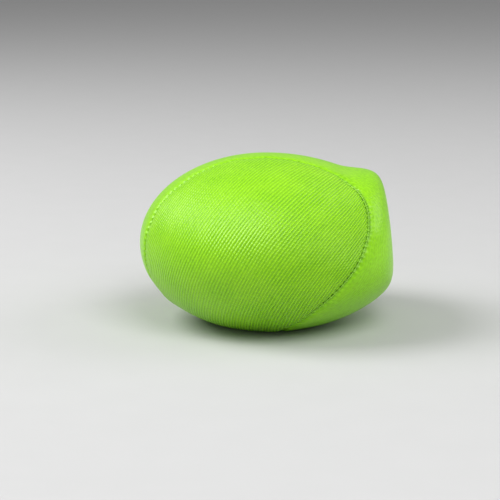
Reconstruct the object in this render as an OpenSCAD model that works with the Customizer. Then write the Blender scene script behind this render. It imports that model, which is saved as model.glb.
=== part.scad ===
// Squeeze ball in its fabric cover, pressed flat as a closed hand holds it.
// Two equal panels, shaped like the halves of a tennis ball's cover, are sewn together
// inside out and turned. Inside is a bladder in two welded halves, filled with soft gel.
// Millimetres, +Z up, front towards -Y. The origin is the middle of the footprint,
// on the surface that the ball rests on.

/* [Pressed ball] */
// Reach of the ball to the left of its centre
left_reach = 33.25; // [30:0.25:35]
// Reach to the right, before the right side is pressed flat
right_reach = 37.5; // [36:0.5:40]
// Reach to the front, and the same to the back
deep_reach = 35; // [32:0.5:38]
// Half the height, before the underside is pressed flat
half_height = 23; // [22:0.5:25]
// Height of the ball's centre above the surface that it rests on
centre_height = 20.9; // [19.5:0.1:21.5]
// Softness of the edge round the flat underside
rest_softness = 0.5; // [0.3:0.1:1]

/* [Side pressed by the thumb] */
// Distance from the ball's centre to the flat on its right side
thumb_flat = 32.4; // [31:0.1:34]
// Lean of that flat from upright, in degrees
thumb_lean = 6; // [0:1:12]
// Softness of the edge round that flat
thumb_softness = 3.5; // [2:0.5:5]
// Extra fullness of the upper right shoulder, as a share of the half height
shoulder = 0.36; // [0:0.02:0.4]

/* [Seam] */
// Narrowness of each panel's waist, from 0.3, wide, to 0.45, narrow
waist = 0.4; // [0.3:0.01:0.45]
// Turn of the panels on the ball about X, then Y, then Z, in degrees
panel_turn = [162, -12, -106]; // [-180:1:180]
// How much the pressing spreads the cloth in front, as a ratio
spread = 1.22; // [1:0.01:1.3]
// Direction in which the cloth is spread
spread_towards = [-0.24, -1, 0.58]; // [-1:0.01:1]

/* [Cover] */
// Thickness of the stretch fabric
fabric = 0.6; // [0.5:0.05:0.7]
// Width of the seam allowance, folded back inside its own panel
allowance = 4; // [3:0.5:5]
// Gap between the two panels along the seam
panel_gap = 0.12; // [0.1:0.02:0.2]
// Depth of the crease along the seam
crease_depth = 0.5; // [0.3:0.05:0.55]
// Width of the crease on each side of the seam
crease_width = 2; // [1.5:0.25:2.5]

/* [Threads] */
// Radius of the machine seam's thread
seam_thread_r = 0.18; // [0.1:0.02:0.2]
// Radius of the thread that binds each panel's cut edge
edge_thread_r = 0.25; // [0.15:0.05:0.3]
// Where the stretch of seam that is closed by hand starts, in degrees along the seam
closing_from = 195; // [180:3.75:210]
// Where it ends
closing_to = 225; // [217.5:3.75:240]
// Radius of the closing thread's knot
knot_r = 0.45; // [0.3:0.05:0.5]

/* [Bladder] */
// Depth of the bladder's outside below the fabric's face
bladder_depth = 1.6; // [1.55:0.05:2]
// Wall of the bladder
bladder_wall = 1.4; // [1:0.1:2]
// Gap between the bladder's wall and the gel
gel_gap = 0.35; // [0.3:0.05:0.5]
// Radius of the fill hole's plug
plug_r = 2.5; // [2:0.25:3]
// Running gap round the plug
plug_gap = 0.05; // [0.03:0.01:0.1]
// Direction in which the plug faces
plug_towards = [0.3, 1, -0.35]; // [-1:0.05:1]

/* [Hidden] */

centre = [0, 0, centre_height];
spread_axis = unit(spread_towards);
thumb_normal = [cos(thumb_lean), 0, sin(thumb_lean)];

// The shoulder swells between these shares of the reach to the right.
SHOULDER_START = 0.5;
SHOULDER_END = 0.95;

// Stations round a panel's edge, and rows from its spine to its allowance.
STATIONS = 96;
HALF_WAY = STATIONS / 2;
ROWS = 8;
// The spine stops this many stations short of each end of the panel.
SPINE_TRIM = 9;
THREAD_SIDES = 6;

// Longitudes and latitudes of the bladder and the gel.
MERIDIANS = 60;
PARALLELS = 8;
// Latitude at which each bladder half starts, in degrees, which leaves the weld line.
WELD_LINE = 0.1;

SEAM_EDGE = panel_gap / 2;
FOLD_GAP = 0.05;
FOLD_BEND = 0.7;
FOLD_TOP = fabric + FOLD_GAP;
FOLD_BOTTOM = 2 * fabric + FOLD_GAP;
// Share of the crease's depth that is left at the bend of the fold.
CREASE_SHARE = 0.25;

// Each row of the panel's edge: distance from the seam, and depth below the fabric's face.
OUTER_ROWS = [
    [allowance, 0],
    [crease_width, 0],
    [FOLD_BEND, CREASE_SHARE * crease_depth],
    [SEAM_EDGE, crease_depth]
];
FOLD_ROWS = [
    [SEAM_EDGE, FOLD_BOTTOM],
    [FOLD_BEND, FOLD_BOTTOM],
    [crease_width, FOLD_BOTTOM],
    [allowance, FOLD_BOTTOM],
    [allowance, FOLD_TOP],
    [crease_width, FOLD_TOP],
    [FOLD_BEND, FOLD_TOP]
];
INNER_ROWS = [
    [FOLD_BEND, fabric],
    [crease_width, fabric],
    [allowance, fabric]
];
EDGE_ROWS = concat(OUTER_ROWS, FOLD_ROWS, INNER_ROWS);

// ---- Shape of the pressed ball ----

function unit(v) = v / norm(v);

function smooth(t) = let (u = min(max(t, 0), 1)) u * u * (3 - 2 * u);

// How far x is over 0, with the corner rounded over a width of w each way.
function over(x, w) = x <= -w ? 0 : x >= w ? x : (x + w) * (x + w) / (4 * w);

// Swelling of the upper right shoulder in direction n.
function swell(n) =
    n[2] <= 0 ? 1 :
    1 + shoulder * smooth((n[0] - SHOULDER_START) / (SHOULDER_END - SHOULDER_START));

// The ball with its right side pressed flat, about its own centre.
function thumbed(p) =
    p - over(p * thumb_normal - thumb_flat, thumb_softness) * thumb_normal;

// The ball set down on its flat underside.
function rested(p) = [p[0], p[1], p[2] + over(-p[2], rest_softness)];

// Point of the ball's face in direction n from its centre.
function face_point(n) =
    rested(centre + thumbed([
        (n[0] > 0 ? right_reach : left_reach) * n[0],
        deep_reach * n[1],
        half_height * n[2] * swell(n)
    ]));

// Point at a depth below the face, measured towards the centre.
function skin(n, depth) =
    let (p = face_point(n) - centre) centre + p * (1 - depth / norm(p));

// ---- Lie of the panels ----

function turned_x(v, a) =
    [v[0], v[1] * cos(a) - v[2] * sin(a), v[1] * sin(a) + v[2] * cos(a)];
function turned_y(v, a) =
    [v[0] * cos(a) + v[2] * sin(a), v[1], v[2] * cos(a) - v[0] * sin(a)];
function turned_z(v, a) =
    [v[0] * cos(a) - v[1] * sin(a), v[0] * sin(a) + v[1] * cos(a), v[2]];
function turned(v) =
    turned_z(turned_y(turned_x(v, panel_turn[0]), panel_turn[1]), panel_turn[2]);

// Pressing spreads the cloth away from one direction, alike all round it.
function spread_out(n) =
    let (
        along = n * spread_axis,
        across = n - along * spread_axis,
        size = norm(across),
        angle = 2 * atan(spread * tan(atan2(size, along) / 2))
    )
    size < 1e-9 ? n : cos(angle) * spread_axis + sin(angle) * across / size;

// A panel's long axis is its own X and its waist faces its own Z. The other panel
// is the same one swapped end for side, so that the two lock together.
function laid(n, other) = spread_out(turned(other ? [n[1], n[0], -n[2]] : n));

// Direction of the seam at s degrees along it, in the panel's own axes.
function seam_at(s) = [
    cos(s) - waist * cos(3 * s),
    sin(s) + waist * sin(3 * s),
    -2 * sqrt(waist) * cos(2 * s)
] / (1 + waist);

// Direction of the panel's spine abreast of the seam at s degrees.
function spine_at(s) = let (c = seam_at(s)) unit([c[0], 0, c[2]]);

function seam_dir(s, other) = laid(seam_at(s), other);

// Direction that lies e millimetres from the seam, inside the panel.
function inside(s, e, other) =
    let (
        d = seam_dir(s, other),
        ahead = seam_dir(s + 1, other) - seam_dir(s - 1, other),
        reach = norm(face_point(d) - centre)
    )
    unit(d + unit(cross(d, ahead)) * e / reach);

// ---- Cover panel ----

function angle_of(i) = 360 * i / STATIONS;
function spine_index(i) =
    min(max(i <= HALF_WAY ? i : STATIONS - i, SPINE_TRIM), HALF_WAY - SPINE_TRIM)
    - SPINE_TRIM;
SPINE_COUNT = HALF_WAY - 2 * SPINE_TRIM + 1;

function spine_dir(j, other) = laid(spine_at(angle_of(j + SPINE_TRIM)), other);

// Row k of the panel's middle, from the spine, 0, to the allowance, ROWS.
function middle_row(k, depth, other) = [
    for (i = [0:STATIONS - 1])
        let (
            from = spine_dir(spine_index(i), other),
            to = inside(angle_of(i), allowance, other)
        )
        skin(unit(from + (to - from) * k / ROWS), depth)
];

function edge_row(row, other) = [
    for (i = [0:STATIONS - 1]) skin(inside(angle_of(i), row[0], other), row[1])
];

function spine_row(depth, other) = [
    for (j = [0:SPINE_COUNT - 1]) skin(spine_dir(j, other), depth)
];

function joined(rows) = [for (row = rows) each row];

function panel_points(other) = concat(
    joined([for (k = [1:ROWS - 1]) middle_row(k, 0, other)]),
    joined([for (row = EDGE_ROWS) edge_row(row, other)]),
    joined([for (k = [ROWS - 1:-1:1]) middle_row(k, fabric, other)]),
    spine_row(0, other),
    spine_row(fabric, other)
);

PANEL_ROWS = 2 * (ROWS - 1) + len(EDGE_ROWS);

// Faces between rows of a closed band, each row holding count points.
function band_faces(rows, count) = [
    for (r = [0:rows - 2], i = [0:count - 1])
        let (j = (i + 1) % count)
        each [
            [r * count + i, r * count + j, (r + 1) * count + j],
            [r * count + i, (r + 1) * count + j, (r + 1) * count + i]
        ]
];

// Faces between the spine's points and the row next to it.
function spine_faces(spine, row, flip) = [
    for (i = [0:STATIONS - 1])
        let (
            j = (i + 1) % STATIONS,
            a = spine + spine_index(i),
            b = spine + spine_index(j),
            tri = [a, row + j, row + i],
            gap = [a, b, row + j]
        )
        each concat([ordered(tri, flip)], a == b ? [] : [ordered(gap, flip)])
];

function ordered(tri, flip) = flip ? [tri[0], tri[2], tri[1]] : tri;

module cover_panel(other) {
    last_row = (PANEL_ROWS - 1) * STATIONS;
    spine = PANEL_ROWS * STATIONS;
    polyhedron(
        points = panel_points(other),
        faces = concat(
            band_faces(PANEL_ROWS, STATIONS),
            spine_faces(spine, 0, false),
            spine_faces(spine + SPINE_COUNT, last_row, true)
        )
    );
}

// ---- Threads ----

// Ring of a thread round the point that lies e from the seam and at a depth.
function thread_ring(s, e, depth, r, other) =
    let (
        p = skin(inside(s, e, other), depth),
        ahead = skin(inside(s + 1, e, other), depth) - p,
        out = unit(p - centre),
        side = unit(cross(ahead, out)),
        up = unit(cross(side, ahead))
    )
    [
        for (k = [0:THREAD_SIDES - 1])
            let (a = 360 * k / THREAD_SIDES) p + r * (cos(a) * side + sin(a) * up)
    ];

// A thread along the seam from one angle to another, with flat ends.
module thread(from, to, e, depth, r, other) {
    steps = round((to - from) / angle_of(1));
    rings = [
        for (i = [0:steps])
            thread_ring(from + (to - from) * i / steps, e, depth, r, other)
    ];
    last = steps * THREAD_SIDES;
    polyhedron(
        points = joined(rings),
        faces = concat(
            band_faces(steps + 1, THREAD_SIDES),
            [[for (k = [THREAD_SIDES - 1:-1:0]) k]],
            [[for (k = [0:THREAD_SIDES - 1]) last + k]]
        )
    );
}

// A thread all the way round the seam.
module ring_thread(e, depth, r, other) {
    rings = [for (i = [0:STATIONS - 1]) thread_ring(angle_of(i), e, depth, r, other)];
    polyhedron(points = joined(rings), faces = loop_faces(STATIONS, THREAD_SIDES));
}

// Faces of a closed ring of closed rows.
function loop_faces(rows, count) = [
    for (r = [0:rows - 1], i = [0:count - 1])
        let (j = (i + 1) % count, q = (r + 1) % rows)
        each [
            [r * count + i, r * count + j, q * count + j],
            [r * count + i, q * count + j, q * count + i]
        ]
];

SEAM_THREAD_DEPTH = 0.2;
EDGE_THREAD_DEPTH = 1.1;
EDGE_THREAD_GAP = 0.2;
// Bare stretch of seam between the two threads' ends, in degrees along the seam.
THREAD_SPACE = 0.75;

module edge_thread(other) {
    e = allowance + EDGE_THREAD_GAP + edge_thread_r;
    ring_thread(e, EDGE_THREAD_DEPTH, edge_thread_r, other);
}

// ---- Bladder and gel ----

function globe_dir(longitude, latitude) = [
    cos(latitude) * cos(longitude), cos(latitude) * sin(longitude), sin(latitude)
];

function globe_row(latitude, depth) = [
    for (i = [0:MERIDIANS - 1]) skin(globe_dir(360 * i / MERIDIANS, latitude), depth)
];

// Latitude of row k, from the weld line, 0, towards the pole, PARALLELS.
function latitude_of(k) = WELD_LINE + (90 - WELD_LINE) * k / PARALLELS;

// One half of the bladder: up is 1 for the upper half and -1 for the lower.
module bladder_half(up) {
    inner_depth = bladder_depth + bladder_wall;
    rows = concat(
        [for (k = [PARALLELS - 1:-1:0]) globe_row(up * latitude_of(k), bladder_depth)],
        [for (k = [0:PARALLELS - 1]) globe_row(up * latitude_of(k), inner_depth)]
    );
    count = len(rows) * MERIDIANS;
    polyhedron(
        points = concat(joined(rows), [
            skin([0, 0, up], bladder_depth),
            skin([0, 0, up], inner_depth)
        ]),
        faces = [
            for (f = concat(
                band_faces(len(rows), MERIDIANS),
                pole_faces(count, 0, false),
                pole_faces(count + 1, count - MERIDIANS, true)
            )) ordered(f, up < 0)
        ]
    );
}

// Faces between a pole and the row next to it.
function pole_faces(pole, row, flip) = [
    for (i = [0:MERIDIANS - 1])
        ordered([pole, row + (i + 1) % MERIDIANS, row + i], flip)
];

module gel() {
    depth = bladder_depth + bladder_wall + gel_gap;
    rows = [
        for (k = [1:2 * PARALLELS - 1]) globe_row(90 - 90 * k / PARALLELS, depth)
    ];
    count = len(rows) * MERIDIANS;
    polyhedron(
        points = concat(joined(rows), [skin([0, 0, 1], depth), skin([0, 0, -1], depth)]),
        faces = concat(
            band_faces(len(rows), MERIDIANS),
            pole_faces(count, 0, false),
            pole_faces(count + 1, count - MERIDIANS, true)
        )
    );
}

// Point of the bladder's outside, a little way from the plug.
function near_plug(shift) = skin(unit(unit(plug_towards) + shift), bladder_depth);

// Turn so that the child's Z runs out of the bladder at the plug.
module at_plug() {
    step = 0.05;
    up = near_plug([0, 0, step]) - near_plug([0, 0, -step]);
    side = near_plug([step, 0, 0]) - near_plug([-step, 0, 0]);
    out = unit(cross(up, side));
    translate(near_plug([0, 0, 0]))
        rotate([0, acos(out[2]), atan2(out[1], out[0])])
            children();
}

// How far the plug's ends stay inside the bladder's wall.
PLUG_INSET = 0.3;
HOLE_SPARE = 2;

// ---- Sub-parts ----

module front_cover_panel() {
    color("#93d938") cover_panel(false);
}

module side_cover_panel() {
    color("#8ed43a") cover_panel(true);
}

module seam_thread() {
    color("#a9e35c")
        thread(closing_to + THREAD_SPACE, closing_from + 360 - THREAD_SPACE,
            0, SEAM_THREAD_DEPTH, seam_thread_r, false);
}

module closing_thread() {
    color("#b4e86c") {
        thread(closing_from, closing_to, 0, SEAM_THREAD_DEPTH, seam_thread_r, false);
        translate(skin(seam_dir(closing_to, false), SEAM_THREAD_DEPTH - knot_r))
            sphere(r = knot_r, $fn = 24);
    }
}

module front_edge_thread() {
    color("#a9e35c") edge_thread(false);
}

module side_edge_thread() {
    color("#a9e35c") edge_thread(true);
}

module upper_bladder_half() {
    color("#e8e6dc") bladder_half(1);
}

module lower_bladder_half() {
    color("#e0ded4") difference() {
        bladder_half(-1);
        at_plug() translate([0, 0, -bladder_wall - HOLE_SPARE])
            cylinder(r = plug_r + plug_gap, h = bladder_wall + 2 * HOLE_SPARE, $fn = 48);
    }
}

module bladder_plug() {
    color("#cfccc0") at_plug() translate([0, 0, PLUG_INSET - bladder_wall])
        cylinder(r = plug_r, h = bladder_wall - 2 * PLUG_INSET, $fn = 48);
}

module gel_filling() {
    color("#d8efe0") gel();
}

front_cover_panel();
side_cover_panel();
seam_thread();
closing_thread();
front_edge_thread();
side_edge_thread();
upper_bladder_half();
lower_bladder_half();
bladder_plug();
gel_filling();
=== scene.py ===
# %% [markdown]
# # A squeeze ball in its sewn fabric cover
# The ball is a soft bladder full of gel, in a cover of lime green stretch knit. The cover
# is two equal panels, each shaped like half of a tennis ball's cover, sewn together inside
# out. The ball is pressed flat, as a closed hand holds it. The CAD frame gives the size and
# the joint, and this lesson makes every piece that is seen, or that is sewn up inside.

# %% Load the frame
import math

import bpy
import numpy as np
from mathutils import Matrix, Vector
from mathutils.kdtree import KDTree


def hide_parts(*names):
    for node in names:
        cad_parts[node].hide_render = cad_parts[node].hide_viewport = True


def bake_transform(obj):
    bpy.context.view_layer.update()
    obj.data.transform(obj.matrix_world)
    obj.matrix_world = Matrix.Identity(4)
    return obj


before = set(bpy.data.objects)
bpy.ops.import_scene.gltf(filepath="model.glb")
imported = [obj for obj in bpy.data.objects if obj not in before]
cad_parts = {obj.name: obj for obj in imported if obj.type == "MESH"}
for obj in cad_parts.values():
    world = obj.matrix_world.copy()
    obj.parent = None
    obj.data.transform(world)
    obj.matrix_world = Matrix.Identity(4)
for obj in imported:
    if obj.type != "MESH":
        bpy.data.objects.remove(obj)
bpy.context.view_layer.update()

MM = 0.001

# %% [markdown]
# ## Camera, floor and light
# The camera looks at the ball's front from a little above, through a long lens, so that
# the ball is drawn with hardly any perspective. The light comes from three big soft
# windows and a dim white room: the strongest window is high on the left, a weaker one is
# in front and a little to the right, and the faintest is low on the right. A satin cloth
# needs large lights, because small ones make hard spots on it.

# %% Set up the camera
BALL_CENTRE = Vector((0, 0, 20.9 * MM))
CAMERA_DISTANCE = 450 * MM
CAMERA_RISE = math.radians(12)
LENS = 122.8
AIM_LEFT = 4.2 * MM
AIM_DOWN = 2.4 * MM

camera = bpy.data.objects.new("camera", bpy.data.cameras.new("camera"))
bpy.context.collection.objects.link(camera)
bpy.context.scene.camera = camera
camera.data.lens = LENS
camera.data.clip_start = 0.01
back = Vector((0, -math.cos(CAMERA_RISE), math.sin(CAMERA_RISE)))
up = Vector((0, math.sin(CAMERA_RISE), math.cos(CAMERA_RISE)))
aim = BALL_CENTRE - Vector((AIM_LEFT, 0, 0)) - up * AIM_DOWN
camera.location = aim + back * CAMERA_DISTANCE
camera.rotation_euler = (-back).to_track_quat("-Z", "Y").to_euler()
print("camera at, mm:", [round(v / MM) for v in camera.location])

# %% Make the room
ROOM_LIGHT = 0.31
WINDOW_DISTANCE = 0.8
WINDOW_SIZE = 0.5
FLOOR_SIZE = 6
# Each window's name, its turn round the ball and its rise, in degrees, and its share.
WINDOWS = (
    ("window_left", -93, 46, 0.90),
    ("window_front", 28, 50, 0.56),
    ("window_right", 100, 30, 0.27),
)

bpy.context.scene.view_settings.view_transform = "Standard"
world = bpy.data.worlds.new("room")
world.use_nodes = True
world.node_tree.nodes["Background"].inputs["Color"].default_value = (1, 1, 1, 1)
world.node_tree.nodes["Background"].inputs["Strength"].default_value = ROOM_LIGHT
bpy.context.scene.world = world


def soft_window(name, turn, rise, share):
    """A square area light that faces the ball.

    A white surface that faces it is lit to this share of white."""
    light = bpy.data.lights.new(name, "AREA")
    light.size = WINDOW_SIZE
    light.energy = share * math.pi ** 2 * WINDOW_DISTANCE ** 2
    turn, rise = math.radians(turn), math.radians(rise)
    way = Vector((math.sin(turn) * math.cos(rise), -math.cos(turn) * math.cos(rise),
                  math.sin(rise)))
    lamp = bpy.data.objects.new(name, light)
    lamp.location = BALL_CENTRE + way * WINDOW_DISTANCE
    lamp.rotation_euler = way.to_track_quat("Z", "Y").to_euler()
    bpy.context.collection.objects.link(lamp)


for window in WINDOWS:
    soft_window(*window)

bpy.ops.mesh.primitive_plane_add(size=FLOOR_SIZE, location=(0, 0, 0))
floor = bpy.context.object
floor.name = "floor"
print("windows:", len(WINDOWS), "floor, m:", FLOOR_SIZE)

# %% [markdown]
# ## The pressed ball
# A round ball in a closed hand becomes a low oval: the palm and the fingers flatten it,
# the thumb presses one side flat, and the cloth bulges up at the shoulder between them.
# It could be sculpted, but a rule is exact and can be asked for the face in any direction,
# so here it is a function from a direction to a point. All the pieces use it, and each
# says how deep it lies below the face.

# %% Shape of the pressed ball
# The ball reaches this far from its centre to each side, to front and back, and up.
LEFT_REACH = 33.25 * MM
RIGHT_REACH = 37.5 * MM
DEEP_REACH = 35 * MM
HALF_HEIGHT = 23 * MM
# The ball's flats have rounded borders: narrow where it rests, wide where the thumb is.
REST_SOFTNESS = 0.5 * MM
THUMB_FLAT = 32.4 * MM
THUMB_SOFTNESS = 3.5 * MM
THUMB_LEAN = math.radians(6)
THUMB_NORMAL = np.array([math.cos(THUMB_LEAN), 0, math.sin(THUMB_LEAN)])
# The shoulder stands this share higher, and rises between two directions.
SHOULDER = 0.36
SHOULDER_START = 0.5
SHOULDER_END = 0.95
CENTRE = np.array(BALL_CENTRE)


def unit(v):
    v = np.asarray(v, float)
    return v / np.linalg.norm(v, axis=-1, keepdims=True)


def smooth(t):
    t = np.clip(t, 0, 1)
    return t * t * (3 - 2 * t)


def over(x, w):
    """How far x is over 0, with the corner rounded over a width of w each way."""
    return np.where(x <= -w, 0, np.where(x >= w, x, (x + w) ** 2 / (4 * w)))


def face_point(n):
    """The point of the ball's face in direction n from its centre."""
    n = np.asarray(n, float)
    reach = np.where(n[..., 0] > 0, RIGHT_REACH, LEFT_REACH)
    swell = smooth((n[..., 0] - SHOULDER_START) / (SHOULDER_END - SHOULDER_START))
    high = HALF_HEIGHT * (1 + SHOULDER * swell * (n[..., 2] > 0))
    p = np.stack([reach * n[..., 0], DEEP_REACH * n[..., 1], high * n[..., 2]], -1)
    p = p - over(p @ THUMB_NORMAL - THUMB_FLAT, THUMB_SOFTNESS)[..., None] * THUMB_NORMAL
    p = p + CENTRE
    p[..., 2] += over(-p[..., 2], REST_SOFTNESS)
    return p


def skin(n, depth):
    """The point at a depth below the face, measured towards the centre."""
    p = face_point(n) - CENTRE
    return CENTRE + p * (1 - depth / np.linalg.norm(p, axis=-1, keepdims=True))


print("top of the shoulder, mm:", np.round(face_point(unit([0.8, -0.2, 0.5])) / MM, 1))

# %% [markdown]
# ## The seam
# The seam of a tennis ball is one closed curve that swings four times over the ball. Its
# two sides are equal, so one panel serves for both, and the second is the first turned
# over. Pressing a ball spreads the cloth in front, so directions are also spread away from
# one axis, a little like the front of a balloon under a finger.

# %% Lie of the seam and the panels
# The larger the first value is, the narrower are the panels' waists.
WAIST = 0.4
PANEL_TURN = [math.radians(a) for a in (162, -12, -106)]
SPREAD = 1.22
SPREAD_AXIS = unit([-0.24, -1, 0.58])
TURN = np.array(
    Matrix.Rotation(PANEL_TURN[2], 3, "Z")
    @ Matrix.Rotation(PANEL_TURN[1], 3, "Y")
    @ Matrix.Rotation(PANEL_TURN[0], 3, "X")
)
ROUND_RADIUS = 30.5 * MM
# The step along the seam that shows which way it runs.
SEAM_STEP = 0.01


def spread_out(n, ratio):
    """Directions moved away from the spread axis by a ratio, alike all round it."""
    along = n @ SPREAD_AXIS
    across = n - along[..., None] * SPREAD_AXIS
    size = np.linalg.norm(across, axis=-1)
    angle = 2 * np.arctan2(ratio * np.sin(np.arctan2(size, along) / 2),
                           np.cos(np.arctan2(size, along) / 2))
    turn = np.sin(angle) / np.maximum(size, 1e-12)
    return np.cos(angle)[..., None] * SPREAD_AXIS + turn[..., None] * across


def swapped(n):
    """The other panel's axes: end for side, and face for back."""
    return np.stack([n[..., 1], n[..., 0], -n[..., 2]], -1)


def laid(n, other):
    """From a panel's own axes to a direction on the ball."""
    return spread_out((swapped(n) if other else n) @ TURN.T, SPREAD)


def unlaid(d, other):
    """From a direction on the ball to a panel's own axes."""
    n = spread_out(unit(d), 1 / SPREAD) @ TURN
    return swapped(n) if other else n


def seam_at(s):
    """The seam's direction in a panel's axes, for s from 0 to 2 pi."""
    s = np.asarray(s, float)
    return np.stack([
        np.cos(s) - WAIST * np.cos(3 * s),
        np.sin(s) + WAIST * np.sin(3 * s),
        -2 * math.sqrt(WAIST) * np.cos(2 * s),
    ], -1) / (1 + WAIST)


def inside(s, e, other):
    """The direction that lies a distance e from the seam, inside the panel."""
    d = laid(seam_at(s), other)
    ahead = laid(seam_at(s + SEAM_STEP), other) - laid(seam_at(s - SEAM_STEP), other)
    reach = np.linalg.norm(face_point(d) - CENTRE, axis=-1, keepdims=True)
    return unit(d + unit(np.cross(d, ahead)) * e / reach)


SEAM_SAMPLES = 2160
seam_s = np.linspace(0, 2 * math.pi, SEAM_SAMPLES, endpoint=False)
seam_line = face_point(laid(seam_at(seam_s), False))
seam_steps = np.linalg.norm(np.roll(seam_line, -1, 0) - seam_line, axis=1)
seam_arc = np.concatenate([[0], np.cumsum(seam_steps)[:-1]])
SEAM_LENGTH = float(seam_steps.sum())
STITCHES = 216
PITCH = SEAM_LENGTH / STITCHES
print("seam, mm:", round(SEAM_LENGTH / MM, 1), "stitch pitch, mm:", round(PITCH / MM, 2))

# %% [markdown]
# ## Small tools
# An operator acts on whatever is selected, so each piece starts by clearing the selection.
# The helpers below only wrap that, the reading and writing of points, and modifiers.


# %% Helpers for selection, points and modifiers
def only(piece):
    """Make one piece the only thing that is selected."""
    bpy.ops.object.select_all(action="DESELECT")
    piece.select_set(True)
    bpy.context.view_layer.objects.active = piece


def points(piece):
    data = np.empty(len(piece.data.vertices) * 3)
    piece.data.vertices.foreach_get("co", data)
    return data.reshape(-1, 3)


def set_points(piece, places):
    piece.data.vertices.foreach_set("co", np.asarray(places, np.float32).ravel())
    piece.data.update()


def normals(piece):
    data = np.empty(len(piece.data.vertices) * 3)
    piece.data.vertices.foreach_get("normal", data)
    return data.reshape(-1, 3)


def set_vectors(piece, name, values):
    layer = piece.data.attributes.get(name)
    if layer is None:
        layer = piece.data.attributes.new(name, "FLOAT_VECTOR", "POINT")
    layer.data.foreach_set("vector", np.asarray(values, np.float32).ravel())


def vectors(piece, name):
    data = np.empty(len(piece.data.vertices) * 3, np.float32)
    piece.data.attributes[name].data.foreach_get("vector", data)
    return data.reshape(-1, 3).astype(float)


def modify(piece, kind, **settings):
    """Add a modifier, set it up and apply it."""
    only(piece)
    modifier = piece.modifiers.new(kind.lower(), kind)
    for name, value in settings.items():
        setattr(modifier, name, value)
    bpy.ops.object.modifier_apply(modifier=modifier.name)


def face_out(piece):
    """Make all faces agree, and point away from the ball's centre."""
    only(piece)
    bpy.ops.object.mode_set(mode="EDIT")
    bpy.ops.mesh.select_all(action="SELECT")
    bpy.ops.mesh.normals_make_consistent(inside=False)
    bpy.ops.object.mode_set(mode="OBJECT")
    outward = ((points(piece) - CENTRE) * normals(piece)).sum(1).mean()
    if outward < 0:
        piece.data.flip_normals()


def smooth_shaded(piece):
    only(piece)
    bpy.ops.object.shade_smooth()


# %% [markdown]
# ## Cover panels
# On the real ball each panel is cut flat from stretch knit and pulled tight over the
# filling. It could be a patch cut out of a sphere, but then the seam's edge would be ragged.
# So each panel starts as a grid with one column for each stitch: its columns run from the
# panel's spine out to the seam, and its first and last columns are merged. The rows are
# closer together near the seam, where the cloth is creased.

# %% Lay a grid on the ball as a panel
MIDDLE_ROWS = 7
NEAR_ROWS = [e * MM for e in (4.0, 2.6, 1.5, 0.7, 0.06)]
ROWS = MIDDLE_ROWS + len(NEAR_ROWS) - 1
# The spine stops this many columns short of each end of the panel.
SPINE_TRIM = 20
WELD = 0.005 * MM


def panel_directions(column, row, other):
    """Directions on the ball for the grid's columns and rows."""
    s = 2 * math.pi * column / STITCHES
    half = STITCHES // 2
    abreast = np.where(column <= half, column, STITCHES - column)
    abreast = np.clip(abreast, SPINE_TRIM, half - SPINE_TRIM)
    spine = seam_at(2 * math.pi * abreast / STITCHES) * np.array([1, 0, 1])
    spine = laid(unit(spine), other)
    edge = inside(s, NEAR_ROWS[0], other)
    share = np.clip(row / MIDDLE_ROWS, 0, 1)[:, None]
    out = unit(spine + (edge - spine) * share)
    for k, e in enumerate(NEAR_ROWS):
        here = row == MIDDLE_ROWS + k
        out[here] = inside(s[here], e, other)
    return out


def laid_panel(name, other):
    """A grid laid on the ball, with its first and last columns merged."""
    bpy.ops.object.select_all(action="DESELECT")
    bpy.ops.mesh.primitive_grid_add(x_subdivisions=STITCHES, y_subdivisions=ROWS, size=1)
    panel = bpy.context.object
    panel.name = name
    grid = points(panel)
    column = np.rint((grid[:, 0] + 0.5) * STITCHES).astype(int)
    row = np.rint((grid[:, 1] + 0.5) * ROWS).astype(int)
    directions = panel_directions(column % STITCHES, row, other)
    set_vectors(panel, "direction", directions)
    set_points(panel, face_point(directions))
    only(panel)
    bpy.ops.object.mode_set(mode="EDIT")
    bpy.ops.mesh.select_all(action="SELECT")
    bpy.ops.mesh.remove_doubles(threshold=WELD)
    bpy.ops.object.mode_set(mode="OBJECT")
    face_out(panel)
    print(name, "points:", len(panel.data.vertices), "faces:", len(panel.data.polygons))
    return panel


front_panel = laid_panel("front_panel", False)
side_panel = laid_panel("side_panel", True)

# %% [markdown]
# ## Filling the cover
# A stuffed cover isn't as smooth as a drawn shape: the filling pushes the cloth out between
# its seams. A cloth simulation finds that by itself. The seam's points are pinned, pressure
# pushes from inside with no gravity, and after 20 steps the result is made the mesh. No
# point may move further than a cap, which keeps the pressed shape.

# %% Let the filling push the cloth out
PRESSURE = 4.0
SWELL_CAP = 0.7 * MM
SIM_FRAMES = 20
PINNED_WITHIN = 0.84 * MM
seam_tree = KDTree(SEAM_SAMPLES)
for i, p in enumerate(seam_line):
    seam_tree.insert(p, i)
seam_tree.balance()


def nearest_on_seam(places):
    """Each place's distance to the seam, and the number of the nearest sample on it."""
    near = [seam_tree.find(p) for p in places]
    return np.array([n[2] for n in near]), np.array([n[1] for n in near])


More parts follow.
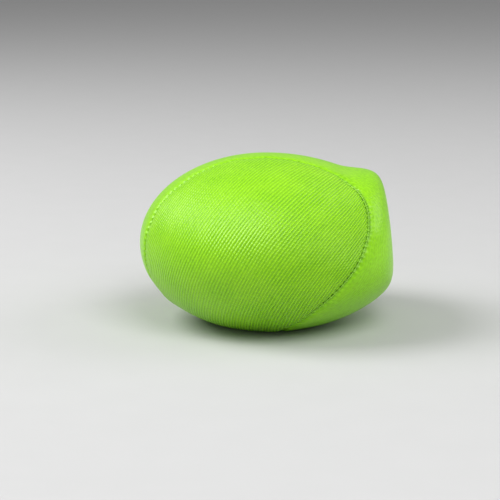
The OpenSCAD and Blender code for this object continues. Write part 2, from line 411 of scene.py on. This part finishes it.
def filled(panel):
    """Let pressure push a panel out, with the points along its seam held."""
    start = points(panel)
    away = nearest_on_seam(start)[0]
    pins = panel.vertex_groups.new(name="seam")
    pins.add([int(i) for i in np.flatnonzero(away < PINNED_WITHIN)], 1.0, "REPLACE")
    only(panel)
    cloth = panel.modifiers.new("cloth", "CLOTH")
    cloth.settings.quality = 6
    cloth.settings.mass = 0.05
    cloth.settings.tension_stiffness = 8
    cloth.settings.compression_stiffness = 8
    cloth.settings.shear_stiffness = 3
    cloth.settings.bending_stiffness = 0.1
    cloth.settings.vertex_group_mass = "seam"
    cloth.settings.use_pressure = True
    cloth.settings.uniform_pressure_force = PRESSURE
    cloth.settings.effector_weights.gravity = 0
    cloth.collision_settings.use_collision = False
    for step in range(1, SIM_FRAMES + 1):
        bpy.context.scene.frame_set(step)
    bpy.ops.object.modifier_apply(modifier=cloth.name)
    move = points(panel) - start
    far = np.linalg.norm(move, axis=1, keepdims=True)
    print(panel.name, "pushed out by up to, mm:", round(float(far.max()) / MM, 2))
    move *= np.minimum(1, SWELL_CAP / np.maximum(far, 1e-9))
    places = start + move
    places[:, 2] = np.maximum(places[:, 2], 0)
    set_points(panel, places)
    panel.vertex_groups.clear()
    bpy.context.scene.frame_set(1)


filled(front_panel)
filled(side_panel)

# %% [markdown]
# ## Seam relief
# Where two panels are sewn inside out, each one turns in sharply, so the seam lies in a
# crease. The turned-in edge lifts the cloth beside it into a low ridge. Each stitch pulls
# its own small pucker, with a pit where the needle went through, and slower wrinkles run
# in from the seam. All that is moved into the mesh after it is subdivided, because it is
# finer than the grid.

# %% Press the seam's relief into a panel
CREASE = 0.42 * MM
PUCKER = 0.16 * MM
PUCKER_REACH = 1.9 * MM
WRINKLE = 0.10 * MM
WRINKLE_REACH = 4.0 * MM
PIT = 0.40 * MM
PIT_RADIUS = 0.32 * MM
PIT_FROM_SEAM = 0.5 * MM
RIDGE_TOP = 1.6 * MM
RIDGE_FALL = 6.5 * MM
RELIEF_REACH = 9 * MM
# Directions are corrected this often, until each agrees with its place.
CORRECTIONS = 5
# The stretched cloth's ribs bow a little to one side.
BOW = 0.018
# Each wrinkle wave: how many go round the seam, and its phase. They lean with distance.
WRINKLE_WAVES = ((11, 0.4), (19, 2.1), (31, 4.4), (47, 1.2))
WRINKLE_LEAN = 0.09
# Half width of the crease, height of the ridge, and the share of the needle pits, in depth and
# in painted shade. The front panel's edge rolls over the seam, and the side panel's lies flat.
FRONT_ROLL = (0.75 * MM, 0.20 * MM, 1.0)
SIDE_ROLL = (0.35 * MM, 0.10 * MM, 0.45)


def needle_pits(away, arc):
    """1 in the middle of each needle's pit, and 0 away from them."""
    along = (arc / PITCH - np.rint(arc / PITCH)) * PITCH
    return np.exp(-((away - PIT_FROM_SEAM) ** 2 + along ** 2) / PIT_RADIUS ** 2)


def seam_relief(away, arc, roll):
    """How far the cloth is pulled in at a distance from the seam, and along it."""
    crease_half, ridge_height, pit_share = roll
    turn = 2 * math.pi * arc / SEAM_LENGTH
    stitch = np.cos(STITCHES * turn)
    crease = CREASE * np.exp(-(away / crease_half) ** 2)
    ridge = ridge_height * smooth(away / RIDGE_TOP) * (1 - smooth((away - RIDGE_TOP) / RIDGE_FALL))
    pucker = PUCKER * (0.5 + 0.5 * stitch) * np.exp(-(away / PUCKER_REACH) ** 2)
    lean = WRINKLE_LEAN * away / MM
    waves = sum(np.sin(k * turn + phase + lean) for k, phase in WRINKLE_WAVES)
    wrinkle = WRINKLE * waves / 2 * np.exp(-(away / WRINKLE_REACH) ** 2)
    pit = PIT * pit_share * needle_pits(away, arc)
    return crease - ridge + pucker + wrinkle * smooth(away / MM) + pit


def true_directions(places, directions):
    """Correct directions until the ball's face in each one lies at its place."""
    for step in range(CORRECTIONS):
        directions = unit(directions + (places - face_point(directions)) / DEEP_REACH)
    return directions


def relieved(panel, other, roll):
    """Subdivide a panel, press the seam's relief into it, and note its weave."""
    modify(panel, "SUBSURF", levels=2, render_levels=2)
    places = points(panel)
    directions = true_directions(places, unit(vectors(panel, "direction")))
    away, index = nearest_on_seam(places)
    near = away < RELIEF_REACH
    pull = np.zeros(len(places))
    pull[near] = seam_relief(away[near], seam_arc[index[near]], roll)
    places = places - normals(panel) * pull[:, None]
    places[:, 2] = np.maximum(places[:, 2], 0)
    set_points(panel, places)
    own = unlaid(directions, other)
    across = np.arcsin(np.clip(own[:, 1], -1, 1))
    along = np.arctan2(-own[:, 0], own[:, 2]) * np.cos(across)
    across = across + BOW * along ** 2
    # Painted shade: the distance from the seam is made less in the needle pits, so the knit's
    # crease ramp darkens them.
    shade_distance = away * (1 - roll[2] * needle_pits(away, seam_arc[index]))
    weave = np.stack([along * ROUND_RADIUS, across * ROUND_RADIUS, shade_distance], -1) / MM
    set_vectors(panel, "weave", weave)
    panel.data.attributes.remove(panel.data.attributes["direction"])
    print(panel.name, "faces after the relief:", len(panel.data.polygons))


relieved(front_panel, False, FRONT_ROLL)
relieved(side_panel, True, SIDE_ROLL)

# %% [markdown]
# ## Seam allowance and thickness
# Inside the cover each panel's edge is turned back under itself. The edge is extruded
# three times: down into the seam, round the fold, and back under the panel. Solidify then
# gives the whole panel, fold and all, the thickness of the knit.

# %% Turn the edge in and thicken the cloth
FABRIC = 0.45 * MM
# Each step of the fold: how far inside the seam, and how deep below the face.
FOLD_STEPS = ((0.06 * MM, 0.95 * MM), (0.7 * MM, 1.2 * MM), (4.0 * MM, 1.2 * MM))


def turned_in(panel, other):
    """Fold a panel's edge back under itself, and give the cloth its thickness."""
    only(panel)
    for step, (e, depth) in enumerate(FOLD_STEPS):
        bpy.ops.object.mode_set(mode="EDIT")
        bpy.ops.mesh.select_mode(type="EDGE")
        bpy.ops.mesh.select_all(action="DESELECT")
        bpy.ops.mesh.select_non_manifold(
            extend=False, use_wire=False, use_boundary=True, use_multi_face=False,
            use_non_contiguous=False, use_verts=False,
        )
        bpy.ops.mesh.extrude_edges_move()
        bpy.ops.object.mode_set(mode="OBJECT")
        chosen = np.array([v.select for v in panel.data.vertices])
        places = points(panel)
        if step == 0:
            index = nearest_on_seam(places[chosen])[1]
            s = 2 * math.pi * index / SEAM_SAMPLES
            s = math.pi / 2 - s if other else s
        places[chosen] = skin(inside(s, e, other), depth)
        set_points(panel, places)
    modify(panel, "SOLIDIFY", thickness=FABRIC, offset=-1)
    smooth_shaded(panel)
    print(panel.name, "faces, finished:", len(panel.data.polygons))


turned_in(front_panel, False)
turned_in(side_panel, True)

# %% [markdown]
# ## Machine stitches
# Seen from outside, a seam sewn inside out shows only where the tight cloth pulls it open:
# a short bar of thread at each stitch, lying across the crease. One bar is modelled, as a
# small ball drawn out and bent, and copied to each place along the seam.

# %% One bar of thread
BAR_HALF = 0.42 * MM
BAR_RADIUS = 0.10 * MM
BAR_DROP = 0.22 * MM
BAR_END = 0.05


def thread_bar(half, radius):
    """A ball drawn out to a bar, with its ends bent down and its middle nearly even."""
    bpy.ops.object.select_all(action="DESELECT")
    bpy.ops.mesh.primitive_uv_sphere_add(segments=8, ring_count=7, radius=1)
    bar = bpy.context.object
    bar.name = "bar"
    bpy.ops.object.mode_set(mode="EDIT")
    bpy.ops.mesh.select_all(action="SELECT")
    bpy.ops.transform.resize(value=(radius, radius, half))
    bpy.ops.object.mode_set(mode="OBJECT")
    places = points(bar)
    places[:, 0] -= BAR_DROP * (places[:, 2] / half) ** 2
    places[:, 1] *= np.sqrt(np.maximum(1 - (places[:, 2] / half) ** 6, BAR_END))
    set_points(bar, places)
    return bar


def seam_frame(arc, slant, depth):
    """A matrix on the seam: X out of the ball, Z across the seam with a slant."""
    s = np.interp(arc % SEAM_LENGTH, np.append(seam_arc, SEAM_LENGTH),
                  np.append(seam_s, 2 * math.pi))
    d = laid(seam_at(s), False)
    p = skin(d, depth)
    ahead = unit(face_point(laid(seam_at(s + SEAM_STEP), False)) - face_point(d))
    out = unit(p - CENTRE)
    out = unit(out - ahead * (out @ ahead))
    across = np.cross(ahead, out)
    z = across * math.cos(slant) + ahead * math.sin(slant)
    y = np.cross(z, out)
    frame_matrix = Matrix.Identity(4)
    for i, axis in enumerate((out, y, z)):
        frame_matrix.col[i][:3] = axis
    frame_matrix.col[3][:3] = p
    return frame_matrix


def joined(name, parts):
    """Join separate pieces into one."""
    only(parts[0])
    for part in parts:
        part.select_set(True)
    bpy.ops.object.join()
    whole = bpy.context.object
    whole.name = name
    return whole


print("one bar, mm:", round(2 * BAR_HALF / MM, 2), "long,", round(2 * BAR_RADIUS / MM, 2), "thick")

# %% Sew the machine seam
BAR_DEPTH = 0.30 * MM
BAR_SLANT = math.radians(24)
LINE_DEPTH = 0.52 * MM
LINE_RADIUS = 0.12 * MM
LINE_POINTS = 600
# The stretch of seam, as angles on it, that is left open to put the ball in.
CLOSING_FROM = math.radians(195)
CLOSING_TO = math.radians(225)
rng = np.random.default_rng(7)


def copied(model, places):
    """A copy of the model, with its own mesh, at each place. The model goes."""
    copies = []
    for place in places:
        copy = model.copy()
        copy.data = model.data.copy()
        copy.data.transform(place)
        bpy.context.collection.objects.link(copy)
        copies.append(copy)
    bpy.data.objects.remove(model)
    return copies


def arc_of(s):
    """Length along the seam up to the angle s."""
    return float(np.interp(s, np.append(seam_s, 2 * math.pi),
                           np.append(seam_arc, SEAM_LENGTH)))


def line_along_seam(name, arcs, depths):
    """A thread that follows the seam, as a curve made into a mesh."""
    curve = bpy.data.curves.new(name, "CURVE")
    curve.dimensions = "3D"
    curve.bevel_depth = LINE_RADIUS
    curve.bevel_resolution = 1
    curve.use_fill_caps = True
    spline = curve.splines.new("POLY")
    spline.points.add(len(arcs) - 1)
    for point, arc, depth in zip(spline.points, arcs, depths):
        point.co = (*seam_frame(arc, 0, depth).col[3][:3], 1)
    line = bpy.data.objects.new(name, curve)
    bpy.context.collection.objects.link(line)
    only(line)
    bpy.ops.object.convert(target="MESH")
    return bpy.context.object


closing_arcs = (arc_of(CLOSING_FROM), arc_of(CLOSING_TO))
arcs = (np.arange(STITCHES) + 0.5) * PITCH
machine_arcs = [a for a in arcs if not closing_arcs[0] < a < closing_arcs[1]]
bars = copied(
    thread_bar(BAR_HALF, BAR_RADIUS),
    [
        seam_frame(a + rng.normal(0, 0.04) * MM, BAR_SLANT + rng.normal(0, 0.08),
                   BAR_DEPTH + rng.normal(0, 0.02) * MM)
        for a in machine_arcs
    ],
)
run = np.linspace(closing_arcs[1], closing_arcs[0] + SEAM_LENGTH, LINE_POINTS)
line = line_along_seam("line", run, np.full(len(run), LINE_DEPTH))
machine_stitches = joined("machine_stitches", [line] + bars)
smooth_shaded(machine_stitches)
print("machine stitches:", len(machine_arcs))

# %% [markdown]
# ## Hand stitches
# The last stretch of seam is closed by hand, with a ladder stitch and a knot. Its bars are
# made like the machine's, but they are longer, thicker and less even. A torus of small
# radius makes a good knot, because only a turn or two of thread shows.

# %% Close the seam by hand
HAND_PITCH = 2.1 * MM
HAND_BAR_HALF = 0.62 * MM
HAND_RADIUS = 0.17 * MM
HAND_LINE_POINTS = 60
HAND_WEAVING = 0.05 * MM
KNOT_RADIUS = 0.42 * MM
KNOT_THREAD = 0.45
KNOT_LIFT = 0.02 * MM
KNOT_SLANT = 0.4

hand_arcs = np.arange(closing_arcs[0] + HAND_PITCH / 2, closing_arcs[1], HAND_PITCH)
hand_bars = copied(
    thread_bar(HAND_BAR_HALF, HAND_RADIUS),
    [
        seam_frame(a, rng.normal(0, 0.15), BAR_DEPTH + rng.normal(0, 0.03) * MM)
        for a in hand_arcs
    ],
)
run = np.linspace(closing_arcs[0], closing_arcs[1], HAND_LINE_POINTS)
weaving = LINE_DEPTH + HAND_WEAVING * np.sin(2 * math.pi * (run - run[0]) / HAND_PITCH)
hand_line = line_along_seam("hand_line", run, weaving)
bpy.ops.mesh.primitive_torus_add(
    major_segments=20, minor_segments=8, major_radius=KNOT_RADIUS * (1 - KNOT_THREAD),
    minor_radius=KNOT_RADIUS * KNOT_THREAD,
)
knot = bpy.context.object
knot.data.transform(seam_frame(closing_arcs[1], KNOT_SLANT, -KNOT_LIFT))
hand_stitches = joined("hand_stitches", [hand_line, knot] + hand_bars)
smooth_shaded(hand_stitches)
print("hand stitches:", len(hand_arcs))

# %% [markdown]
# ## Bound edges
# Inside, an overlock machine has bound each cut edge with thread that winds round it. A
# winding is a long spiral whose axis follows the edge, so its points come from a loop, and
# a curve with a round bevel gives it its body.

# %% Bind each panel's cut edge
TURNS = 170
POINTS_PER_TURN = 9
EDGE_IN = 4.0 * MM
WIND_DEPTH = 1.0 * MM
WIND_RADIUS = 0.36 * MM
WIND_THREAD = 0.09 * MM


def bound_edge(name, other):
    """A thread wound in a spiral round a panel's folded-in edge."""
    turn = np.arange(TURNS * POINTS_PER_TURN) / POINTS_PER_TURN
    angle = 2 * math.pi * turn
    s = 2 * math.pi * turn / TURNS
    e = EDGE_IN + WIND_RADIUS * np.cos(angle)
    depth = WIND_DEPTH + WIND_RADIUS * np.sin(angle)
    places = skin(inside(s, e[:, None], other), depth[:, None])
    curve = bpy.data.curves.new(name, "CURVE")
    curve.dimensions = "3D"
    curve.bevel_depth = WIND_THREAD
    curve.bevel_resolution = 0
    spline = curve.splines.new("POLY")
    spline.points.add(len(places) - 1)
    spline.points.foreach_set("co", np.c_[places, np.ones(len(places))].ravel())
    spline.use_cyclic_u = True
    binding = bpy.data.objects.new(name, curve)
    bpy.context.collection.objects.link(binding)
    only(binding)
    bpy.ops.object.convert(target="MESH")
    binding = bpy.context.object
    smooth_shaded(binding)
    return binding


front_binding = bound_edge("front_binding", False)
side_binding = bound_edge("side_binding", True)
print("points in one binding:", len(front_binding.data.vertices))

# %% [markdown]
# ## Bladder, plug and gel
# The bladder is moulded in two halves and welded round the middle. Each half is a sphere
# cut in two with bisect and laid at its depth below the face. Solidify makes its wall, and
# a row of points lifted at the rim makes the bead of the weld. The gel fills what is left.

# %% Mould the bladder
BLADDER_DEPTH = 1.6 * MM
BLADDER_WALL = 1.4 * MM
WELD_GAP = 0.0015
BEAD = 0.15 * MM
BEAD_WIDTH = 0.03
PLUG_RADIUS = 2.5 * MM
PLUG_HOLE_RADIUS = 2.55 * MM
PLUG_HEIGHT = 0.9 * MM
PLUG_BEVEL = 0.15 * MM
PLUG_TOWARDS = unit([0.3, 1, -0.35])
# Points this far each side of the plug show which way the bladder faces there.
PLUG_STEP = 0.05


def globe(name):
    """A ball of radius 1, whose points serve as directions."""
    bpy.ops.object.select_all(action="DESELECT")
    bpy.ops.mesh.primitive_uv_sphere_add(segments=96, ring_count=48, radius=1)
    piece = bpy.context.object
    piece.name = name
    return piece


def bladder_half(name, side):
    """Half a globe laid under the cover, with its wall and half of the weld's bead."""
    half = globe(name)
    bpy.ops.object.mode_set(mode="EDIT")
    bpy.ops.mesh.select_all(action="SELECT")
    bpy.ops.mesh.bisect(
        plane_co=(0, 0, side * WELD_GAP), plane_no=(0, 0, side), clear_inner=True,
    )
    bpy.ops.object.mode_set(mode="OBJECT")
    directions = unit(points(half))
    bead = BEAD * np.exp(-(directions[:, 2] / BEAD_WIDTH) ** 2)
    set_points(half, skin(directions, (BLADDER_DEPTH - bead)[:, None]))
    face_out(half)
    modify(half, "SOLIDIFY", thickness=BLADDER_WALL, offset=-1)
    smooth_shaded(half)
    return half


def plug_frame():
    """A matrix at the plug's place, with Z out of the bladder."""
    near = [
        skin(unit(PLUG_TOWARDS + PLUG_STEP * np.array(v)), BLADDER_DEPTH)
        for v in ((0, 0, 1), (0, 0, -1), (1, 0, 0), (-1, 0, 0))
    ]
    out = Vector(unit(np.cross(near[0] - near[1], near[2] - near[3])))
    return Matrix.Translation(skin(PLUG_TOWARDS, BLADDER_DEPTH)) @ (
        out.to_track_quat("Z", "Y").to_matrix().to_4x4()
    )


def plug_cylinder(name, radius, height):
    """A cylinder across the middle of the bladder's wall, where the plug goes."""
    bpy.ops.object.select_all(action="DESELECT")
    bpy.ops.mesh.primitive_cylinder_add(vertices=48, radius=radius, depth=height)
    piece = bpy.context.object
    piece.name = name
    piece.data.transform(plug_frame() @ Matrix.Translation((0, 0, -BLADDER_WALL / 2)))
    return piece


bladder_top = bladder_half("bladder_top", 1)
bladder_bottom = bladder_half("bladder_bottom", -1)
cutter = plug_cylinder("cutter", PLUG_HOLE_RADIUS, 4 * BLADDER_WALL)
modify(bladder_bottom, "BOOLEAN", operation="DIFFERENCE", object=cutter)
bpy.data.objects.remove(cutter)
fill_plug = plug_cylinder("fill_plug", PLUG_RADIUS, PLUG_HEIGHT)
modify(fill_plug, "BEVEL", width=PLUG_BEVEL, segments=2, limit_method="ANGLE")
print("bladder faces:", len(bladder_top.data.polygons), len(bladder_bottom.data.polygons))

# %% Pour the gel
GEL_DEPTH = 3.35 * MM
LUMP = 0.08 * MM
gel = globe("gel")
gel_directions = unit(points(gel))
lumps = np.sin(9 * gel_directions[:, 0]) * np.sin(8 * gel_directions[:, 1] + 1)
set_points(gel, skin(gel_directions, (GEL_DEPTH + LUMP * (1 + lumps))[:, None]))
face_out(gel)
smooth_shaded(gel)
print("gel faces:", len(gel.data.polygons))

# %% [markdown]
# ## Shader maths
# A shader's sums are long chains of Math nodes. A small class that wraps one socket lets
# them be written as Python, and one method makes every other node.


# %% A socket that can be reckoned with
class Signal:
    """One output of a node. Sums on it add Math nodes."""

    def __init__(self, finish, socket):
        self.finish = finish
        self.socket = socket

    def math(self, operation, *others):
        return self.finish.node(
            "ShaderNodeMath", {"operation": operation}, {0: self, **dict(enumerate(others, 1))}
        )

    def __add__(self, other):
        return self.math("ADD", other)

    def __sub__(self, other):
        return self.math("SUBTRACT", other)

    def __mul__(self, other):
        return self.math("MULTIPLY", other)

    def __truediv__(self, other):
        return self.math("DIVIDE", other)

    def __rsub__(self, other):
        return self.finish.node(
            "ShaderNodeMath", {"operation": "SUBTRACT"}, {0: other, 1: self}
        )

    __radd__ = __add__
    __rmul__ = __mul__

    def wave(self):
        """From 0 to 1 and back, once for each whole number."""
        return (self * (2 * math.pi)).math("COSINE") * 0.5 + 0.5

    def ramp(self, low, high):
        """0 below low, 1 above high, and smooth between."""
        return self.finish.node(
            "ShaderNodeMapRange", {"interpolation_type": "SMOOTHSTEP"},
            {"Value": self, "From Min": low, "From Max": high},
        )


class Finish:
    """A material and the nodes that it is made of."""

    def __init__(self, name, **surface):
        self.material = bpy.data.materials.new(name)
        self.material.use_nodes = True
        self.tree = self.material.node_tree
        self.shader = self.tree.nodes["Principled BSDF"]
        for socket, value in surface.items():
            self.set(self.shader.inputs[socket.replace("_", " ")], value)

    def set(self, socket, value):
        if isinstance(value, Signal):
            self.tree.links.new(value.socket, socket)
        else:
            socket.default_value = value

    def node(self, kind, settings=None, inputs=None, output=0):
        made = self.tree.nodes.new(kind)
        for name, value in (settings or {}).items():
            setattr(made, name, value)
        for key, value in (inputs or {}).items():
            self.set(made.inputs[key], value)
        return Signal(self, made.outputs[output])

    def parts(self, place):
        """The three coordinates of a place."""
        split = self.node("ShaderNodeSeparateXYZ", {}, {"Vector": place}).socket.node
        return [Signal(self, output) for output in split.outputs]

    def mix(self, share, first, second):
        return self.node(
            "ShaderNodeMix", {"data_type": "RGBA"}, {0: share, 6: first, 7: second}, 2
        )

    def scaled(self, place, scale):
        """A place with each of its coordinates multiplied."""
        return self.node("ShaderNodeMapping", {}, {"Vector": place, "Scale": scale})

    def noise(self, place, scale, detail=2.0):
        return self.node(
            "ShaderNodeTexNoise", {}, {"Vector": place, "Scale": scale, "Detail": detail}
        )

    def bump(self, height, strength, distance):
        return self.node(
            "ShaderNodeBump", {},
            {"Height": height, "Strength": strength, "Distance": distance},
        )

    def feed(self, **links):
        for socket, value in links.items():
            self.set(self.shader.inputs[socket.replace("_", " ")], value)
        return self.material


# %% [markdown]
# ## Stretch knit
# Warp-knitted swimwear cloth has fine ribs along one way of the cloth, each a chain of
# small loops. The panel's own "weave" attribute says where each point was on the flat,
# unstretched cloth, in millimetres: along the ribs and across them. So the ribs follow the
# panel, and open and close with its stretch, as real ones do. Their grooves are lower in the
# bump, and darker in the colour by painted shade. The third number is the distance from the
# seam, made less in the needles' pits, so that one ramp paints shade into both the crease
# and the pits. Dyed satin fibres tint what they reflect, so the gleam is pale lime.

# %% Lime knit
RIB_SPACING = 0.65
LOOP_SPACING = 0.85
COURSE_SLANT = 0.35
LOOP_SHARE = 0.3
# Streaks run along the ribs, push them aside by a share of their spacing, and fade them.
STREAK_SCALE = (0.35, 1.6, 0)
STREAK_PUSH = 0.25
FLECK_SCALE = (1.1, 2.2, 0)
PATCH_SCALE = 0.12
PATCH_SHARE = 0.16
# How much of a rib's contrast is painted shade in its colour. The rest is in its height.
RIB_SHADE_SHARE = 0.68
RIB_HEIGHT = 0.20 * MM
# Painted shade darkens the crease and the pits from here to there, in millimetres from the seam.
CREASE_SHADE_SPAN = (0.05, 0.5)
CREASE_SHADE_SHARE = 0.55
# Across the panel, from here to there, the ribs get more painted shade in their colour and more
# depth in their bump.
RIB_SHADE_AND_DEPTH_SPAN = (-14, 20)
# Rib crests and grooves: their mean is the knit's lime, and the grooves' darkness is painted
# shade.
LIGHT_LIME = (0.44, 0.97, 0.006, 1)
DEEP_LIME = (0.085, 0.34, 0.001, 1)
PALE_LIME = (0.50, 0.97, 0.04, 1)
# The colour of the painted shade in the seam's crease and needle pits.
CREASE_SHADE_LIME = (0.05, 0.20, 0.001, 1)
GLEAM = (0.92, 1, 0.66, 1)
FUZZ = (0.9, 1, 0.6, 1)


def knit(name, rib_show, grain_show):
    """Lime stretch knit whose ribs and grain show by these shares."""
    cloth = Finish(name, IOR=1.5, Specular_Tint=GLEAM, Sheen_Weight=0.02, Sheen_Roughness=0.3,
                   Sheen_Tint=FUZZ)
    weave = cloth.node("ShaderNodeAttribute", {"attribute_name": "weave"}, {}, "Vector")
    along, across, away = cloth.parts(weave)
    patch = cloth.noise(weave, PATCH_SCALE)
    streak = cloth.noise(cloth.scaled(weave, STREAK_SCALE), 1.0, 3.0)
    fleck = cloth.noise(cloth.scaled(weave, FLECK_SCALE), 1.0, 1.0).ramp(0.3, 0.7)

    rib = (across / RIB_SPACING + (streak - 0.5) * STREAK_PUSH).wave()
    loop = (along / LOOP_SPACING + across * (COURSE_SLANT / RIB_SPACING)).wave()
    thread = rib * (1 - LOOP_SHARE + loop * LOOP_SHARE)
    # Painted shade: the ribs' colour contrast rises towards one side of the panel, where the light
    # grazes them; in the bump the same ramp deepens them.
    stretch = (across * -1).ramp(*RIB_SHADE_AND_DEPTH_SPAN) * 0.45 + 0.6
    contrast = (streak.ramp(0.25, 0.75) * 0.3 + 0.7) * stretch * rib_show * RIB_SHADE_SHARE

    lit = thread * contrast + (1 - contrast) * 0.5 + (fleck - 0.5) * grain_show
    # Painted shade: the ribs' grooves are darker lime, and their crests lighter.
    colour = cloth.mix(lit, DEEP_LIME, LIGHT_LIME)
    colour = cloth.mix(patch.ramp(0.3, 0.75) * PATCH_SHARE, colour, PALE_LIME)
    # Painted shade in the seam's crease and needle pits.
    colour = cloth.mix((1 - away.ramp(*CREASE_SHADE_SPAN)) * CREASE_SHADE_SHARE, colour, CREASE_SHADE_LIME)
    height = thread * stretch * rib_show + loop * 0.06 + fleck * grain_show * 0.5
    return cloth.feed(
        Base_Color=colour,
        Roughness=0.39 - thread * 0.08,
        Normal=cloth.bump(height, 1.0, RIB_HEIGHT),
    )


front_knit = knit("lime_knit_ribs", 1.0, 0.15)
side_knit = knit("lime_knit_smooth", 0.2, 0.2)
print("nodes in the knit:", len(front_knit.node_tree.nodes))

# %% [markdown]
# ## Thread, rubber and gel
# The sewing thread is the cloth's colour, a shade paler, with the twist of its strands.
# The bladder is milky moulded rubber, its plug is a duller one, and the gel is clear. The
# floor is plain and dull, so it takes the same cloudy finish as the rubber, in pale grey.


# %% Other finishes
PALE_THREAD = (0.52, 0.95, 0.14, 1)
DEEP_THREAD = (0.26, 0.62, 0.02, 1)
PALE_MILK = (0.86, 0.85, 0.79, 1)
DEEP_MILK = (0.74, 0.73, 0.66, 1)
PALE_PLUG = (0.66, 0.64, 0.56, 1)
DEEP_PLUG = (0.54, 0.52, 0.45, 1)
PALE_GEL = (0.85, 0.96, 0.88, 1)
DEEP_GEL = (0.62, 0.85, 0.70, 1)
PALE_FLOOR = (0.56, 0.56, 0.56, 1)
DEEP_FLOOR = (0.54, 0.54, 0.54, 1)


def object_place(finish):
    """Where a point is in the piece's own frame, in metres."""
    return finish.node("ShaderNodeTexCoord", {}, {}, "Object")


def twisted_thread():
    thread = Finish("lime_thread", IOR=1.33, Sheen_Weight=0.05)
    strands = thread.node(
        "ShaderNodeTexWave", {"bands_direction": "DIAGONAL"},
        {"Vector": object_place(thread), "Scale": 1600.0, "Distortion": 1.5}, 1,
    )
    return thread.feed(
        Base_Color=thread.mix(strands, DEEP_THREAD, PALE_THREAD),
        Roughness=0.6 - strands * 0.15,
        Normal=thread.bump(strands, 0.4, 0.03 * MM),
    )


def cloudy_finish(name, pale, deep, rough):
    """Dull, with a faint cloudiness and a fine grain."""
    dull = Finish(name, Specular_IOR_Level=0.45)
    cloudy = dull.noise(object_place(dull), 90.0, 4.0)
    grain = dull.noise(object_place(dull), 2400.0)
    return dull.feed(
        Base_Color=dull.mix(cloudy, deep, pale),
        Roughness=cloudy * 0.15 + rough,
        Normal=dull.bump(grain, 0.25, 0.03 * MM),
    )


def clear_gel():
    jelly = Finish("clear_gel", Transmission_Weight=0.6, IOR=1.42)
    cloudy = jelly.noise(object_place(jelly), 60.0, 3.0)
    return jelly.feed(
        Base_Color=jelly.mix(cloudy, DEEP_GEL, PALE_GEL),
        Roughness=cloudy * 0.1 + 0.05,
    )


thread_finish = twisted_thread()
bladder_finish = cloudy_finish("milky_rubber", PALE_MILK, DEEP_MILK, 0.35)
plug_finish = cloudy_finish("plug_rubber", PALE_PLUG, DEEP_PLUG, 0.5)
gel_finish = clear_gel()
floor_finish = cloudy_finish("pale_floor", PALE_FLOOR, DEEP_FLOOR, 0.9)
floor.data.materials.append(floor_finish)
print("finishes:", [f.name for f in (thread_finish, bladder_finish, plug_finish, gel_finish)])

# %% [markdown]
# ## Dress the pieces and hide the CAD parts
# The ball's pieces all change shape together when it is squeezed. Each piece says which CAD
# node it stands for, and which material slot its finish belongs to. It gets its finish, the
# CAD node's part is hidden, and its place is baked into its mesh.

# %% Dress the pieces and hide the CAD parts
PIECES = (
    (front_panel, "front_cover_panel", "cover_fabric", front_knit),
    (side_panel, "side_cover_panel", "cover_fabric", side_knit),
    (machine_stitches, "seam_thread", "sewing_thread", thread_finish),
    (hand_stitches, "closing_thread", "sewing_thread", thread_finish),
    (front_binding, "front_edge_thread", "sewing_thread", thread_finish),
    (side_binding, "side_edge_thread", "sewing_thread", thread_finish),
    (bladder_top, "upper_bladder_half", "bladder_skin", bladder_finish),
    (bladder_bottom, "lower_bladder_half", "bladder_skin", bladder_finish),
    (fill_plug, "bladder_plug", "plug_rubber", plug_finish),
    (gel, "gel_filling", "gel", gel_finish),
)

for piece, node, slot, finish in PIECES:
    piece.data.materials.clear()
    piece.data.materials.append(finish)
    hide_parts(node)
    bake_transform(piece)
print("pieces:", len(PIECES))
